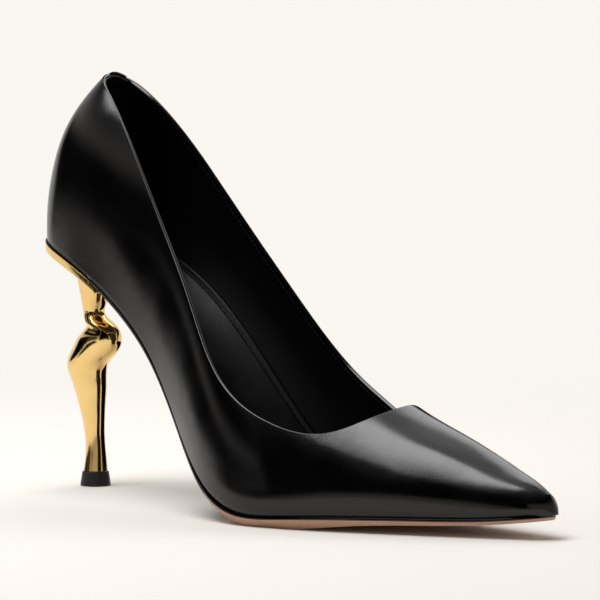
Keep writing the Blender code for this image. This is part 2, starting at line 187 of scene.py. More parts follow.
def toplineHeight(x, side):
    # the rows and the throat on one curve spaced by its chords; the inner side is raised between its ends
    throat = lastShape["throat"]
    rowX = np.append(toplineRows["x"], throat)
    rowZ = np.append(toplineRows["z"], lastAt("ridge", np.array([throat])))
    chord = np.append(0.0, np.cumsum(np.hypot(np.diff(rowX), np.diff(rowZ))))
    at = np.linspace(0, chord[-1], lastShape["toplineSamples"])
    height = np.interp(x, spline(chord, rowX, at), spline(chord, rowZ, at))
    if side == innerSide:
        lift = smoothStep(x / lastShape["liftSpan"]) * smoothStep((throat - x) / lastShape["liftSpan"])
        height = height + lastShape["innerLift"] * lift
    return height


def topAngle(x, side):
    # angle of the section at the topline, and straight up from the throat on
    angle = angleAt(x, toplineHeight(x, side), 0.0)
    return np.where(x >= lastShape["throat"], np.pi / 2, angle)


# Meshes and pieces
weldDistance = 1e-6  # metres
def unit(vectors):
    return vectors / np.maximum(np.linalg.norm(vectors, axis=-1, keepdims=True), 1e-9)


def gridFaces(index):
    # quads between neighbouring rows and columns of a grid of vertex numbers
    corners = index[:-1, :-1], index[1:, :-1], index[1:, 1:], index[:-1, 1:]
    return np.stack([corner.ravel() for corner in corners], axis=-1)


def ringFaces(rows, count):
    # the same where every row is a closed ring
    index = np.arange(rows * count).reshape(rows, count)
    return gridFaces(np.pad(index, ((0, 0), (0, 1)), mode="wrap"))


def makeMesh(name, points, faces, sharp=None, values=None, finish=None):
    # shoe millimetres become scene metres, doubles merge, and the closed skin is turned outwards
    mesh = bpy.data.meshes.new(name)
    places = (points.reshape(-1, 3) + shoeOrigin) / 1000
    mesh.from_pydata(places.tolist(), [], [list(face) for face in faces])
    for label, value in (values or {}).items():
        layer = mesh.attributes.new(label, "FLOAT", "POINT")
        layer.data.foreach_set("value", value.ravel().astype(np.float32))
    if finish is not None:
        mesh.polygons.foreach_set("material_index", finish)
    work = bmesh.new()
    work.from_mesh(mesh)
    bmesh.ops.remove_doubles(work, verts=work.verts, dist=weldDistance)
    bmesh.ops.recalc_face_normals(work, faces=work.faces)
    if work.calc_volume(signed=True) < 0:
        bmesh.ops.reverse_faces(work, faces=work.faces)
    openEdges = sum(not edge.is_manifold for edge in work.edges)
    work.to_mesh(mesh)
    work.free()
    mesh.shade_smooth()
    if sharp:
        mesh.set_sharp_from_angle(angle=np.radians(sharp))
    print("  mesh", name, len(mesh.polygons), "faces,", openEdges, "open edges")
    return mesh


def addPiece(mesh, materials, slot, *nodes):
    piece = bpy.data.objects.new(mesh.name, mesh)
    scene.collection.objects.link(piece)
    for material in materials:
        mesh.materials.append(material)
    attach(piece, "root")
    if nodes:
        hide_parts(*nodes)
    return piece


def shellMesh(name, walls, throat):
    # an outer and an inner grid for each side of the shoe, joined along the feather line and, up to the
    # station at the throat, along the topline
    points = np.stack(walls)
    index = np.arange(points[..., 0].size).reshape(points.shape[:3])
    faces = [gridFaces(grid) for grid in index]
    for outside, inside in (index[:2], index[2:]):
        faces.append(gridFaces(np.stack([outside[:, 0], inside[:, 0]], axis=1)))
        faces.append(gridFaces(np.stack([outside[:throat + 1, -1], inside[:throat + 1, -1]], axis=1)))
    return makeMesh(name, points, np.concatenate(faces), sharp=50)


threadShape = {"taper": 0.7, "rows": 7, "around": 8}


def stitchMesh(name, path, along, across, out, thread):
    # short threads laid along a path: each is a spindle, its radius a power of a half circle's height
    run = np.append(0.0, np.cumsum(np.linalg.norm(np.diff(path, axis=0), axis=-1)))
    count = int(run[-1] / thread["pitch"])
    at = (np.arange(count) + 0.5) * run[-1] / count
    place, forward, side, up = (
        np.stack([np.interp(at, run, column) for column in values.T], axis=-1)[:, None, None]
        for values in (path, along, across, out)
    )
    u = np.linspace(-1, 1, threadShape["rows"])[:, None]
    turn = np.linspace(0, 2 * np.pi, threadShape["around"], endpoint=False)
    radius = thread["radius"] * np.sqrt(np.clip(1 - u**2, 0, 1)) ** threadShape["taper"]
    ahead = unit(forward) * (u * thread["length"] / 2)[..., None]
    sideways = unit(side) * (radius * np.cos(turn))[..., None]
    upwards = unit(up) * (radius * np.sin(turn))[..., None]
    first = np.arange(count)[:, None, None] * len(u) * len(turn)
    faces = (ringFaces(len(u), len(turn)) + first).reshape(-1, 4)
    return makeMesh(name, place + ahead + sideways + upwards, faces)


# Materials
noiseSpan = {"From Min": 0.3, "From Max": 0.7}  # where most values of a noise lie
colourMix = {"data_type": "RGBA"}
fineBump, broadBump = 0.0001, 0.001  # metres


def linear(hexCode):
    # sRGB hex value to linear light
    value = np.array([int(hexCode[i:i + 2], 16) for i in (1, 3, 5)]) / 255
    return (*np.where(value <= 0.04045, value / 12.92, ((value + 0.055) / 1.055) ** 2.4), 1.0)


def perMetre(millimetres):
    return 1000 / millimetres  # scale of a pattern on Object coordinates, for cells of that size


def setInputs(tree, node, inputs):
    # an input is a value, or the socket that it is linked from
    for name, value in inputs.items():
        if isinstance(value, bpy.types.NodeSocket):
            tree.links.new(value, node.inputs[name])
        else:
            node.inputs[name].default_value = value


def addNode(tree, kind, settings, inputs):
    node = tree.nodes.new("ShaderNode" + kind)
    for name, value in settings.items():
        setattr(node, name, value)
    setInputs(tree, node, inputs)
    return node


def newMaterial(name):
    material = bpy.data.materials.new(name)
    material.use_nodes = True
    tree = material.node_tree
    return material, tree, tree.nodes["Principled BSDF"]


def dressShader(tree, shader, look, tone, gloss, bumps):
    # colour between the look's two shades by the tone, roughness over its span by the gloss, and the
    # bumps one upon the other: each has its height, its strength and its distance
    shades = {0: tone, 6: linear(look["dark"]), 7: linear(look["light"])}
    tint = addNode(tree, "Mix", colourMix, shades).outputs[2]
    smooth, rough = look["roughness"]
    span = {"Value": gloss, **noiseSpan, "To Min": smooth, "To Max": rough}
    normal = {}
    for height, strength, distance in bumps:
        relief = {"Height": height, "Strength": strength, "Distance": distance, **normal}
        normal = {"Normal": addNode(tree, "Bump", {}, relief).outputs["Normal"]}
    roughness = addNode(tree, "MapRange", {}, span).outputs["Result"]
    setInputs(tree, shader, {"Base Color": tint, "Roughness": roughness, **normal})
    return tint


def leatherSkin(name, look):
    # Drum-dyed leather: a deep even black, a fine grain that only breaks up the highlights, and a slow
    # change of gloss and level where the skin was stretched
    material, tree, shader = newMaterial(name)
    setInputs(tree, shader, {"IOR": look["ior"]})
    coords = addNode(tree, "TexCoord", {}, {}).outputs["Object"]
    cells = {"Vector": coords, "Scale": perMetre(look["grain"])}
    grain = addNode(tree, "TexVoronoi", {"feature": "F1"}, cells).outputs["Distance"]
    fine = {"Vector": coords, "Scale": perMetre(look["grain"] / 2), "Detail": 3.0}
    pores = addNode(tree, "TexNoise", {}, fine).outputs["Fac"]
    patches = {"Vector": coords, "Scale": perMetre(look["patch"]), "Detail": 2.0}
    slow = addNode(tree, "TexNoise", {}, patches).outputs["Fac"]
    relief = [(pattern, look["relief"], fineBump) for pattern in (grain, pores)]
    dressShader(tree, shader, look, slow, slow, [(slow, look["waves"], broadBump), *relief])
    return material


leatherLooks = {
    # grain and patch are cell sizes in mm; calf grain is nearer 0.3 mm, drawn coarser so that it shows
    "polishedCalfBlack": {  # chrome-tanned calf, ironed and polished: clear highlights with soft edges
        "dark": "#020202", "light": "#040404", "roughness": (0.14, 0.20), "ior": 1.48,
        "grain": 0.8, "patch": 16.0, "waves": 0.10, "relief": 0.12},
    "goatLiningBlack": {  # goatskin, left dull: it takes hardly any light
        "dark": "#010101", "light": "#020202", "roughness": (0.63, 0.73), "ior": 1.22,
        "grain": 1.0, "patch": 20.0, "waves": 0.10, "relief": 0.3},
    "sockSheepskinBlack": {  # sheepskin over foam, lightly dressed: a broad faint sheen
        "dark": "#010101", "light": "#030303", "roughness": (0.39, 0.51), "ior": 1.27,
        "grain": 0.9, "patch": 14.0, "waves": 0.12, "relief": 0.3},
    "waistCoverBlack": {  # thin calf drawn over the waist, waxed: half dull
        "dark": "#020202", "light": "#040404", "roughness": (0.37, 0.47), "ior": 1.45,
        "grain": 0.9, "patch": 14.0, "waves": 0.05, "relief": 0.2},
    "threadBlack": {  # waxed polyester thread: dull, and the grain stands for its twist
        "dark": "#050505", "light": "#080808", "roughness": (0.55, 0.65), "ior": 1.35,
        "grain": 0.4, "patch": 3.0, "waves": 0.0, "relief": 0.3},
}
leathers = {name: leatherSkin(name, look) for name, look in leatherLooks.items()}


def tannedSole():
    # Vegetable-tanned sole leather, buffed and left natural under the forefoot: pale tan with soft clouds
    # and short fibres. Black edge ink covers it where the mesh attribute "ink" is 1.
    look = {
        "dark": "#94705a", "light": "#bd957b", "ink": "#030303", "roughness": (0.42, 0.58), "ior": 1.45,
        "cloud": 22.0, "fibre": 1.4, "fibreStretch": (0.25, 1.0, 1.0), "fibreShare": 0.5,
        "tone": (-0.6, 0.9), "relief": 0.2,
    }
    material, tree, shader = newMaterial("soleLeatherTan")
    setInputs(tree, shader, {"IOR": look["ior"]})
    coords = addNode(tree, "TexCoord", {}, {}).outputs["Object"]
    soft = {"Vector": coords, "Scale": perMetre(look["cloud"]), "Detail": 4.0}
    clouds = addNode(tree, "TexNoise", {}, soft).outputs["Fac"]
    along = addNode(tree, "Mapping", {}, {"Vector": coords, "Scale": look["fibreStretch"]}).outputs["Vector"]
    short = {"Vector": along, "Scale": perMetre(look["fibre"]), "Detail": 4.0}
    fibres = addNode(tree, "TexNoise", {}, short).outputs["Fac"]
    parts = {0: fibres, 1: look["fibreShare"], 2: clouds}
    both = addNode(tree, "Math", {"operation": "MULTIPLY_ADD"}, parts)
    low, high = look["tone"]
    span = {"Value": both.outputs["Value"], **noiseSpan, "To Min": low, "To Max": high}
    tone = addNode(tree, "MapRange", {}, span).outputs["Result"]
    tan = dressShader(tree, shader, look, tone, fibres, [(fibres, look["relief"], fineBump)])
    ink = addNode(tree, "Attribute", {"attribute_name": "ink"}, {}).outputs["Fac"]
    inked = addNode(tree, "Mix", colourMix, {0: ink, 6: tan, 7: linear(look["ink"])})
    setInputs(tree, shader, {"Base Color": inked.outputs[2]})
    return material


def platedGold():
    # Zinc casting, polished and plated with yellow gold: a mirror with a faint ripple from the buffing wheel
    look = {
        "dark": "#e6c078", "light": "#efcf90", "roughness": (0.06, 0.12),
        "ripple": 9.0, "relief": 0.05, "scratch": 0.7, "scratchStretch": (1.0, 1.0, 0.12),
    }
    material, tree, shader = newMaterial("platedYellowGold")
    setInputs(tree, shader, {"Metallic": 1.0})
    coords = addNode(tree, "TexCoord", {}, {}).outputs["Object"]
    broad = {"Vector": coords, "Scale": perMetre(look["ripple"]), "Detail": 1.0}
    ripple = addNode(tree, "TexNoise", {}, broad).outputs["Fac"]
    upright = addNode(tree, "Mapping", {}, {"Vector": coords, "Scale": look["scratchStretch"]})
    thin = {"Vector": upright.outputs["Vector"], "Scale": perMetre(look["scratch"]), "Detail": 2.0}
    scratch = addNode(tree, "TexNoise", {}, thin).outputs["Fac"]
    dressShader(tree, shader, look, ripple, scratch, [(ripple, look["relief"], broadBump)])
    return material


def mouldedRubber():
    # Moulded polyurethane top piece: dull black with a faint mould grain
    look = {
        "dark": "#0d0d0e", "light": "#161617", "roughness": (0.42, 0.55), "ior": 1.5,
        "grit": 0.6, "relief": 0.15,
    }
    material, tree, shader = newMaterial("topPieceRubber")
    setInputs(tree, shader, {"IOR": look["ior"]})
    coords = addNode(tree, "TexCoord", {}, {}).outputs["Object"]
    fine = {"Vector": coords, "Scale": perMetre(look["grit"]), "Detail": 3.0}
    grit = addNode(tree, "TexNoise", {}, fine).outputs["Fac"]
    dressShader(tree, shader, look, grit, grit, [(grit, look["relief"], fineBump)])
    return material


soleTan = tannedSole()
gold = platedGold()
rubber = mouldedRubber()
print("materials ready:", len(bpy.data.materials))

# Upper leather
upperCut = {
    "heelStations": 110, "throatStations": 44, "vampStations": 110, "throatSpan": 30.0,
    "levels": 60, "levelPower": 1.3,
    "leather": 0.9,  # thickness, and the lining makes up the rest of the wall
    # edge lasted under the foot: depth and height at the heel and at the forefoot
    "drawIn": (0.2, 1.0), "drawHeight": (0.8, 3.2), "drawSpan": (100.0, 140.0), "drawTip": 4.0,
    # swell low on the forefoot, which climbs towards the toe
    "swell": 0.6, "swellAt": (6.0, 9.0), "swellWidth": 5.5,
    "swellSpan": (115.0, 150.0), "swellClimb": 50.0, "swellTip": 12.0,
    # stiffener round the heel
    "counter": 1.5, "counterShare": 0.62, "counterWidth": 18.0,
    "counterFrom": (4.0, 22.0), "counterTo": (44.0, 76.0),
    # seam on the inner side, with finer stations beside it
    "seamTop": 108.0, "seamFoot": 94.0, "seamReach": 30.0, "seamDepth": 0.45, "seamWidth": 0.35,
    "seamPuff": 0.14, "seamPuffAt": 1.0, "seamPuffWidth": 0.6, "seamFine": 0.15, "seamStations": 10,
    "creaseSamples": 41,
}
creases = [  # troughs (deep > 0) and swells: three stations, shares of the wall's height, depth and width
    {"sides": bothSides, "x": (150, 158, 168), "share": (0.95, 0.62, 0.30), "deep": 0.22, "width": 6.0},
    {"sides": [outerSide], "x": (138, 143, 150), "share": (0.95, 0.60, 0.25), "deep": 0.16, "width": 6.5},
    {"sides": bothSides, "x": (30, 44, 62), "share": (0.62, 0.56, 0.52), "deep": 0.30, "width": 11.0},
    {"sides": [outerSide], "x": (80, 104, 130), "share": (0.14, 0.15, 0.17), "deep": -0.5, "width": 10.0},
    {"sides": bothSides, "x": (186, 200, 216), "share": (0.74, 0.76, 0.78), "deep": 0.20, "width": 4.5},
]


def uplift(points):
    # relief of the creases: each is a bell of the distance to its bent line, thinned towards the line's ends
    relief = np.zeros(points.shape[:2])
    run = np.linspace(0, 2, upperCut["creaseSamples"])
    fade = np.sqrt(np.clip(np.sin(np.pi * run / 2), 0, 1))
    for crease in creases:
        x = np.array(crease["x"], float)
        for side in crease["sides"]:
            angle = topAngle(x, side) * np.array(crease["share"]) ** upperCut["levelPower"]
            corners = skinPoint(x, angle, side, 0.0)
            line = np.stack([np.interp(run, [0, 1, 2], column) for column in corners.T], axis=-1)
            away = np.linalg.norm(points[:, :, None] - line, axis=-1)
            relief -= crease["deep"] * (bell(away, crease["width"]) * fade).max(axis=2)
    return relief


def lowerEdge(x, height):
    # drawn in with the square of the height left to go, more so under the forefoot, where the side swells
    # over it in a bell of the height
    toTip = lastShape["length"] - x
    fore = easeBetween(x, *upperCut["drawSpan"])
    ends = upperCut["drawIn"], upperCut["drawHeight"]
    deep, tall = (back + (front - back) * fore for back, front in ends)
    deep = deep * smoothStep(toTip / upperCut["drawTip"])
    start, stop = upperCut["swellSpan"]
    low, high = upperCut["swellAt"]
    crest = low + (high - low) * smoothStep((x - stop) / upperCut["swellClimb"])
    swell = easeBetween(x, start, stop) * smoothStep(toTip / upperCut["swellTip"])
    rise = upperCut["swell"] * bell(height - crest, upperCut["swellWidth"])
    return swell * rise - deep * np.clip(1 - height / tall, 0, 1) ** 2


def counterSwell(x, height):
    # the stiffener round the heel stands out in a belt that fades at the very back and towards the arch
    stop, end = upperCut["counterTo"]
    fade = easeBetween(x, *upperCut["counterFrom"]) * easeBetween(x, end, stop)
    crest = upperCut["counterShare"] * height[:, -1:]
    return upperCut["counter"] * fade * bell(height - crest, upperCut["counterWidth"])


def upperStations():
    # close together at the back, the throat, the tip and the seam
    throat = lastShape["throat"]
    start = throat - upperCut["throatSpan"]
    turn = np.linspace(0, np.pi / 2, upperCut["heelStations"], endpoint=False)
    close = np.linspace(1, 0, upperCut["throatStations"], endpoint=False)
    point = np.linspace(0, np.pi / 2, upperCut["vampStations"] + 1)
    beside = np.arange(-upperCut["seamStations"], upperCut["seamStations"] + 1)
    seam = upperCut["seamTop"] + beside * upperCut["seamFine"]
    x = np.concatenate([
        start * (1 - np.cos(turn)),
        throat - upperCut["throatSpan"] * close**2,
        throat + (lastShape["length"] - throat) * np.sin(point),
    ])
    x = x[np.abs(x - upperCut["seamTop"]) > seam[-1] - upperCut["seamTop"] + upperCut["seamFine"]]
    return np.sort(np.concatenate([x, seam]))


def makeUpper():
    # both sides of the last as grids of stations and levels, twice: the skin, and the flesh side under it
    x = upperStations()
    throat = int(np.searchsorted(x, lastShape["throat"]))
    level = np.linspace(0, 1, upperCut["levels"] + 1) ** upperCut["levelPower"]
    toSeam = (upperCut["seamFoot"] - upperCut["seamTop"]) * (1 - level)
    leather = upperCut["leather"]
    skins = {}
    normals = {}
    fleshes = {}
    for side in bothSides:
        stations = np.repeat(x[:, None], len(level), axis=1)
        if side == innerSide:
            stations = stations + bell(x - upperCut["seamTop"], upperCut["seamReach"])[:, None] * toSeam
        angle = topAngle(x, side)[:, None] * level
        skins[side] = skinPoint(stations, angle, side, 0.0)
        fleshes[side] = skinPoint(skinStation(stations, -leather), angle, side, -leather)
        alongX, alongLevel = np.gradient(skins[side], axis=(0, 1))
        normals[side] = unit(-side * np.cross(alongX, alongLevel))
    for shared in (np.s_[0, :], np.s_[throat:, -1]):
        both = unit(normals[outerSide][shared] + normals[innerSide][shared])
        normals[outerSide][shared] = both
        normals[innerSide][shared] = both
    walls = []
    for side in bothSides:
        skin = skins[side]
        along = skin[:, :, 0]
        height = skin[:, :, 2] - skin[:, :1, 2]
        relief = uplift(skin) + lowerEdge(along, height) + counterSwell(along, height)
        if side == innerSide:
            away = np.abs(x - upperCut["seamTop"])[:, None]
            relief = relief - upperCut["seamDepth"] * bell(away, upperCut["seamWidth"])
            puff = bell(away - upperCut["seamPuffAt"], upperCut["seamPuffWidth"])
            relief = relief + upperCut["seamPuff"] * puff
        walls += [skin + normals[side] * relief[:, :, None], fleshes[side]]
    mesh = shellMesh("upper_leather", walls, throat)
    addPiece(mesh, [leathers["polishedCalfBlack"]], "upper_leather", "upper")


liningCut = {"outside": -1.0, "stations": 150, "levels": 36}


def makeLining():
    # the inner skin of the wall with a little thickness behind it
    throat = lastShape["throat"]
    turn = np.linspace(0, np.pi, liningCut["stations"])
    x = np.sort(np.append(lastShape["length"] * (1 - np.cos(turn)) / 2, throat))
    level = np.linspace(0, 1, liningCut["levels"] + 1) ** upperCut["levelPower"]
    walls = []
    for side in bothSides:
        angle = topAngle(x, side)[:, None] * level
        for grow in (liningCut["outside"], -lastShape["wall"]):
            stations = np.repeat(skinStation(x, grow)[:, None], len(level), axis=1)
            walls.append(skinPoint(stations, angle, side, grow))
    mesh = shellMesh("upper_lining", walls, int(np.searchsorted(x, throat)))
    addPiece(mesh, [leathers["goatLiningBlack"]], "upper_leather")


makeUpper()
makeLining()
print("upper and lining made")

# Topline: the leather is folded over the edge and stitched down inside
toplineFold = {
    "heelStations": 130, "throatStations": 70, "rollPoints": 15, "rise": 0.5, "half": 0.86,
    "leg": 2.2, "stitchDrop": 1.5, "stitchDepth": 1.79,
    "probe": (0.01, 0.002), "nearBack": 0.02, "steepest": 88.5,  # steps and limits for the skin's slopes
}
legRows = np.array(
    [  # the leg inside: depth behind the outer skin, share of the leg's length
        (1.76, 0.25), (1.78, 0.55), (1.76, 0.86), (1.66, 0.97), (1.45, 1.0),
        (1.2, 0.94), (1.05, 0.5), (0.9, 0.2), (0.3, 0.08),
    ],
    dtype=[("depth", float), ("drop", float)],
)
toplineThread = {"pitch": 1.9, "length": 1.8, "radius": 0.16}


def toplineFrame():
    # closed path round the opening, with its forward, outward and upward (into the opening) directions
    throat = lastShape["throat"]
    start = throat - upperCut["throatSpan"]
    turn = np.linspace(0, np.pi / 2, toplineFold["heelStations"], endpoint=False)
    close = np.linspace(1, 0, toplineFold["throatStations"])
    x = np.concatenate([start * (1 - np.cos(turn)), throat - upperCut["throatSpan"] * close**2])
    stepX, stepAngle = toplineFold["probe"]
    paths = []
    outs = []
    for side in bothSides:
        angle = topAngle(x, side)
        paths.append(skinPoint(x, angle, side, 0.0))
        nearX = np.maximum(x, toplineFold["nearBack"])
        nearAngle = np.minimum(angle, np.radians(toplineFold["steepest"]))
        alongX, alongUp = (  # difference of a step to both sides
            np.subtract(*(skinPoint(nearX + way * ahead, nearAngle + way * up, side, 0) for way in (1, -1)))
            for ahead, up in ((stepX, 0.0), (0.0, stepAngle))
        )
        outs.append(unit(-side * np.cross(alongX, alongUp)))
    path, out = (np.concatenate([outer, inner[-2:0:-1]]) for outer, inner in (paths, outs))
    forward = unit(np.roll(path, -1, axis=0) - np.roll(path, 1, axis=0))
    out = unit(np.roll(out, -1, axis=0) + 2 * out + np.roll(out, 1, axis=0))
    out = unit(out - forward * np.sum(out * forward, axis=-1, keepdims=True))
    return path, forward, out, np.cross(forward, -out)


def makeTopline():
    # profile carried along the path: half a circle over the edge, then the leg down inside and back
    path, forward, out, up = toplineFrame()
    roll = np.linspace(0, np.pi, toplineFold["rollPoints"])
    depth = np.concatenate([toplineFold["half"] * (1 - np.cos(roll)), legRows["depth"]])
    rise = np.concatenate([toplineFold["rise"] * np.sin(roll), -toplineFold["leg"] * legRows["drop"]])
    points = path[:, None] - out[:, None] * depth[:, None] + up[:, None] * rise[:, None]
    index = np.arange(points[:, :, 0].size).reshape(points.shape[:2])
    mesh = makeMesh("topline_fold", points, gridFaces(np.pad(index, (0, 1), mode="wrap")))
    addPiece(mesh, [leathers["polishedCalfBlack"]], "upper_leather")
    row = path - out * toplineFold["stitchDepth"] - up * toplineFold["stitchDrop"]
    loop = np.append(np.arange(len(path)), 0)
    mesh = stitchMesh("topline_stitches", row[loop], forward[loop], up[loop], -out[loop], toplineThread)
    addPiece(mesh, [leathers["threadBlack"]], "upper_leather")


makeTopline()
print("topline folded and stitched")

# Outsole
soleCut = {
    "margin": 0.5, "band": 0.9, "bandShare": 0.55, "step": 0.25, "gap": 0.3,
    "stations": 240, "bevelPoints": 9, "treadPoints": 15, "bulge": 0.12, "soft": 0.12,
    "tipShort": 2.0, "tipRound": 5.0,
    "inkBand": 0.25, "inkEnd": 124.0, "inkBow": 9.0, "inkBlend": 2.0,  # top of the band, and the whole waist
}


def soleHeights(x):
    # top, bottom of the upright band, and tread, which is flat on the floor and rises where the edge closes
    thick = lastAt("sole", x)
    band = np.minimum(soleCut["band"], soleCut["bandShare"] * thick)
    top = lastAt("feather", x) - soleCut["gap"]
    hip = np.clip(halfWidth(x, soleCut["margin"]) / (thick - band), 0, 1)
    return top, top - band, np.maximum(top - band - (thick - band) * hip, 0.0)


def makeOutsole():
    # one closed ring for each station: down the band, in at the step, along the bevel, under the tread
    # and back
    margin = soleCut["margin"]
    soft = soleCut["soft"]
    stop = skinStop(margin) - soleCut["tipShort"]
    x = -margin + (stop + margin) * (1 - np.cos(np.linspace(0, np.pi, soleCut["stations"]))) / 2
    top, band, bottom = (level[:, None] for level in soleHeights(x))
    deep = lastAt("sole", x)[:, None] - (top - band)
    line = top - np.minimum(soleCut["inkBand"], (top - band) / 2)
    bevel = np.linspace(0, 1, soleCut["bevelPoints"])
    halves = []
    for side in (innerSide, outerSide):
        edge = (featherEdge(x, side, margin) * quarterRound((stop - x) / soleCut["tipRound"]))[:, None]
        inset = np.minimum(edge, soft)
        inner = np.maximum(edge - soleCut["step"], 0)
        tread = np.maximum(edge - deep, 0)
        bulge = soleCut["bulge"] * np.sin(np.pi * bevel) * np.minimum(edge, 1)
        y = [edge - inset, edge, edge, edge, edge, edge - inset, inner + (tread - inner) * bevel + bulge]
        z = [top, top - soft, line, line - soft / 2, band + soft, band, band + (bottom - band) * bevel]
        y, z = np.concatenate(y, axis=1), np.concatenate(z, axis=1)
        stations = np.repeat(x[:, None], y.shape[1], axis=1)
        halves.append(np.stack([stations, lastAt("centre", stations) + side * y, z], axis=-1))
    inner, outer = halves
    share = np.linspace(0, 1, soleCut["treadPoints"])[1:-1, None]
    under = inner[:, -1:] * (1 - share) + outer[:, -1:] * share
    over = outer[:, :1] * (1 - share) + inner[:, :1] * share
    ring = np.concatenate([inner, under, outer[:, ::-1], over], axis=1)
    # ink: the band's upper lip all round, and all that lies behind a line that bows towards the toe
    offCentre = (ring[:, :, 1] - lastAt("centre", x)[:, None]) / np.maximum(halfWidth(x, margin), 1)[:, None]
    waist = soleCut["inkEnd"] + soleCut["inkBow"] * np.clip(1 - offCentre**2, 0, 1)
    ink = smoothStep(0.5 + (waist - ring[:, :, 0]) / soleCut["inkBlend"])
    ink[ring[:, :, 2] > line - soft / 4] = 1
    mesh = makeMesh("outsole_leather", ring, ringFaces(*ring.shape[:2]), sharp=35, values={"ink": ink})
    addPiece(mesh, [soleTan], "sole_leather", "outsole")


makeOutsole()
print("outsole made")

# Padded sock inside
sockCut = {
    "clear": 0.6, "rim": 0.7, "round": 2.5, "toeClear": 3.0, "blunt": 0.04, "leastClimb": 0.01,
    "heelTurn": 40, "stations": 130, "across": 150, "rimStep": 6,
    "bead": 0.40, "beadAt": 1.6, "beadWidth": 0.8, "groove": 0.45, "grooveAt": 3.1, "grooveWidth": 0.5,
    "puff": 0.6, "puffReach": 9.0, "stitchEnd": 205.0, "stitchLift": 0.12,
    "heelPad": 0.7, "heelPadAt": (34.0, 0.0), "heelPadSize": (24.0, 13.0),
}
sockRows = np.array(
    [  # x, height of the bed over the feather line, further rise against the inner wall
        (0.0, 3.2, 0.0), (24.0, 3.8, 2.0), (50.0, 4.4, 7.4), (76.0, 4.4, 10.3), (100.0, 3.6, 9.1),
        (120.0, 2.7, 4.8), (145.0, 2.2, 0.4), (175.0, 2.0, 0.0), (243.0, 2.0, 0.0),
    ],
    dtype=[(name, float) for name in ("x", "bed", "arch")],
)
sockThread = {"pitch": 2.9, "length": 2.3, "radius": 0.20}


def sockAt(column, x):
    return np.maximum(spline(sockRows["x"], sockRows[column], x), 0)


def sockEdges(x):
    # outer and inner edge across, and the middle between their rounds, where the arch begins
    edge = halfWidth(x, -lastShape["wall"] - sockCut["clear"])
    rim = sockAt("bed", x) + sockAt("arch", x) - sockCut["rim"]
    wall = edge - archTuck(x) * np.clip(1 - rim / lastShape["tuckHeight"], 0, 1) ** 2
    crest = np.maximum(wall - sockCut["round"], 0)
    middle = (crest - np.maximum(edge - sockCut["round"], 0)) / 2
    return edge, wall, middle


def sockBase(x, across, wall, middle):
    # bed over the feather line, rising with the square of the distance from the middle to the inner wall
    climb = np.clip((across - middle) / np.maximum(wall - middle, sockCut["leastClimb"]), 0, 1)
    return lastAt("feather", x) + sockAt("bed", x) + sockAt("arch", x) * climb**2


def makeSock():
    # the bed as a grid of stations and points across; a bead, a groove and a soft rise follow its rim
    grow = -lastShape["wall"] - sockCut["clear"]
    stop = skinStop(-lastShape["wall"]) - sockCut["toeClear"]
    turn = np.linspace(sockCut["blunt"], np.pi / 2, sockCut["heelTurn"])
    heel = -grow + (lastShape["heelRound"] + grow) * (1 - np.cos(turn))
    x = np.concatenate([heel, np.linspace(lastShape["heelRound"], stop, sockCut["stations"])[1:]])
    edge, wall, middle = sockEdges(x)
    u = (1 - np.cos(np.linspace(0, np.pi, sockCut["across"]))) / 2
    across = -edge[:, None] + (edge + wall)[:, None] * u
    stations = np.repeat(x[:, None], len(u), axis=1)
    centre = lastAt("centre", x)[:, None]
    bed = sockBase(stations, across, wall[:, None], middle[:, None])
    base = np.stack([stations, centre + across, bed], axis=-1)
    # distance of every point to the rim, walked round the heel from toe to toe
    rim = np.concatenate([base[::-1, 0], base[0, 1:-1:sockCut["rimStep"]], base[:, -1]])
    away = np.stack([np.linalg.norm(row[:, None] - rim, axis=-1).min(axis=1) for row in base])
    relief = -sockCut["rim"] * (1 - quarterRound(away / sockCut["round"]))
    relief += sockCut["bead"] * bell(away - sockCut["beadAt"], sockCut["beadWidth"])
    relief -= sockCut["groove"] * bell(away - sockCut["grooveAt"], sockCut["grooveWidth"])
    relief += sockCut["puff"] * (1 - bell(np.maximum(away - sockCut["grooveAt"], 0), sockCut["puffReach"]))
    pad = np.hypot(*((base[:, :, k] - sockCut["heelPadAt"][k]) / sockCut["heelPadSize"][k] for k in (0, 1)))
    relief += sockCut["heelPad"] * bell(pad, 1.0)
    top = base + relief[:, :, None] * np.array([0, 0, 1.0])
    foot = featherEdge(x, innerSide, grow)
    floor = lastAt("feather", x)
    low = [np.stack([x, centre[:, 0] + y, floor], axis=-1)[:, None] for y in (foot, -edge)]
    ring = np.concatenate([top, *low], axis=1)
    rows, count = ring.shape[:2]
    index = np.arange(rows * count).reshape(rows, count)
    faces = ringFaces(rows, count).tolist() + [index[0].tolist(), index[-1].tolist()]
    mesh = makeMesh("insole_sock", ring, faces, sharp=60)
    sock = addPiece(mesh, [leathers["sockSheepskinBlack"]], "sock_leather", "insole")
    # stitches lie in the groove, found on every station by its distance to the rim
    halfCount = len(u) // 2
    rowOuter = np.abs(away[:, :halfCount] - sockCut["grooveAt"]).argmin(axis=1)
    rowInner = len(u) - 1 - np.abs(away[:, ::-1][:, :halfCount] - sockCut["grooveAt"]).argmin(axis=1)
    first = np.flatnonzero(away.max(axis=1) > sockCut["grooveAt"])[0]
    last = np.searchsorted(x, sockCut["stitchEnd"])
    lines = [top[np.arange(first, last), columns[first:last]] for columns in (rowOuter, rowInner)]
    path = np.concatenate([lines[0][::-1], lines[1][1:]]) + np.array([0, 0, sockCut["stitchLift"]])
    forward = unit(np.gradient(path, axis=0))
    up = np.tile([0.0, 0.0, 1.0], (len(path), 1))
    mesh = stitchMesh("sock_stitches", path, forward, np.cross(forward, up), up, sockThread)
    addPiece(mesh, [leathers["threadBlack"]], "sock_leather")


makeSock()
print("sock padded and stitched")

